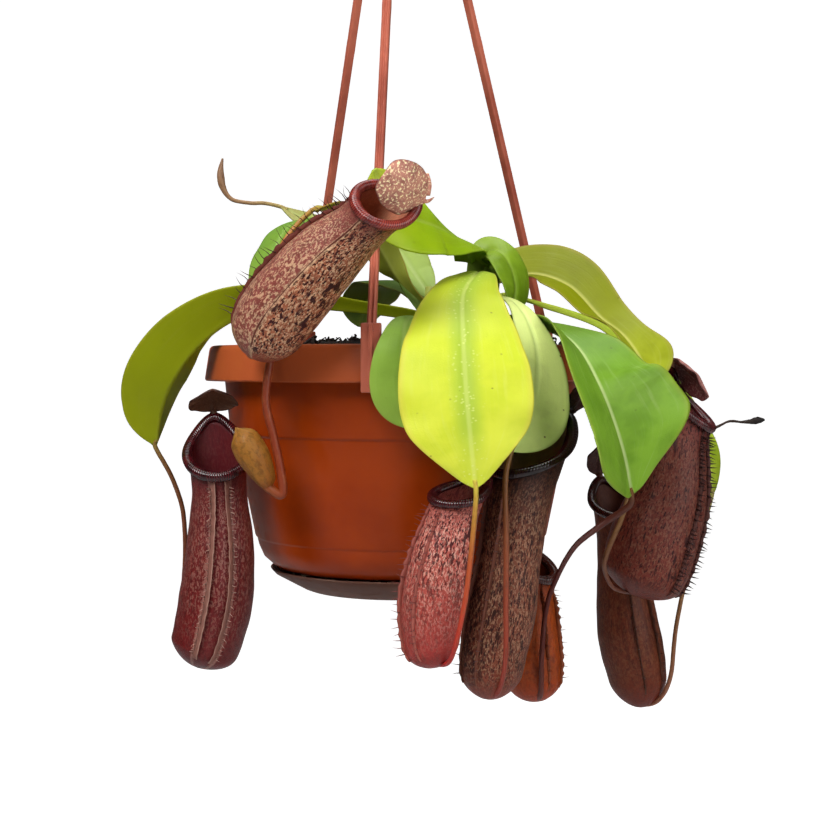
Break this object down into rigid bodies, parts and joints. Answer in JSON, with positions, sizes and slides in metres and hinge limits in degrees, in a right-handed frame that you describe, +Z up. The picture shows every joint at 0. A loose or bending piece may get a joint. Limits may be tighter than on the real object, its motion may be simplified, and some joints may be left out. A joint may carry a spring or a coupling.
{
  "type": "hanging pitcher plant",
  "caption": "Pitcher plant with long leaves and hanging tube-shaped pitchers, growing in a plastic pot with a clip-on saucer and a hanger that ends in a hook.",
  "frame": {"origin": "the point right under the crest of the hook, where the rail or ceiling hook touches it", "axes": "+Z up along the middle axis of pot and hanger, +X to the right and -Y towards a viewer who faces the front of the plant"},
  "size_m": [0.2377, 0.1937, 0.4182],
  "materials": {
    "pot": "glossy terracotta plastic",
    "saucer": "dull brown plastic",
    "hanger": "satin terracotta plastic",
    "soil": "coarse black fibre and peat",
    "stem": "green plant stem",
    "leaf": "smooth green leaf",
    "tendril": "smooth red-brown tendril",
    "pitcher": "speckled red-brown plant skin",
    "pitcher_young": "smooth yellow-brown plant skin",
    "pitcher_rim": "glossy dark red ribbed collar",
    "pitcher_lid": "matt speckled brown plant skin",
    "dry": "dried plant thread"
  },
  "bodies": {
    "root": {"pot": "pot", "saucer": "saucer", "soil": "soil", "hanger_hook": "hanger", "hanger_arm_front": "hanger", "hanger_arm_right": "hanger", "hanger_arm_left": "hanger", "stem_main": "stem", "stem_side": "stem", "leaf_front": "leaf", "leaf_left": "leaf", "leaf_bud": "leaf", "leaf_upper": "leaf", "leaf_young": "leaf", "leaf_back": "leaf", "leaf_small": "leaf", "leaf_top": "leaf", "leaf_arched": "leaf", "leaf_middle": "leaf", "leaf_broad": "leaf", "leaf_right": "leaf", "leaf_low": "leaf", "tendril_upper": "tendril", "tendril_left": "tendril", "tendril_young": "tendril", "tendril_front": "tendril", "tendril_middle": "tendril", "tendril_broad": "tendril", "tendril_right": "tendril", "tendril_low": "tendril", "tendril_bud": "tendril", "pitcher_young": "pitcher_young", "pitcher_upper": "pitcher", "rim_upper": "pitcher_rim", "lid_upper": "pitcher_lid", "pitcher_left": "pitcher", "rim_left": "pitcher_rim", "lid_left": "pitcher_lid", "pitcher_front": "pitcher", "rim_front": "pitcher_rim", "lid_front": "pitcher_lid", "pitcher_middle": "pitcher", "rim_middle": "pitcher_rim", "lid_middle": "pitcher_lid", "pitcher_broad": "pitcher", "rim_broad": "pitcher_rim", "lid_broad": "pitcher_lid", "pitcher_right": "pitcher", "rim_right": "pitcher_rim", "lid_right": "pitcher_lid", "pitcher_low": "pitcher", "rim_low": "pitcher_rim", "lid_low": "pitcher_lid", "dry_tip": "dry"}
  },
  "joints": []
}
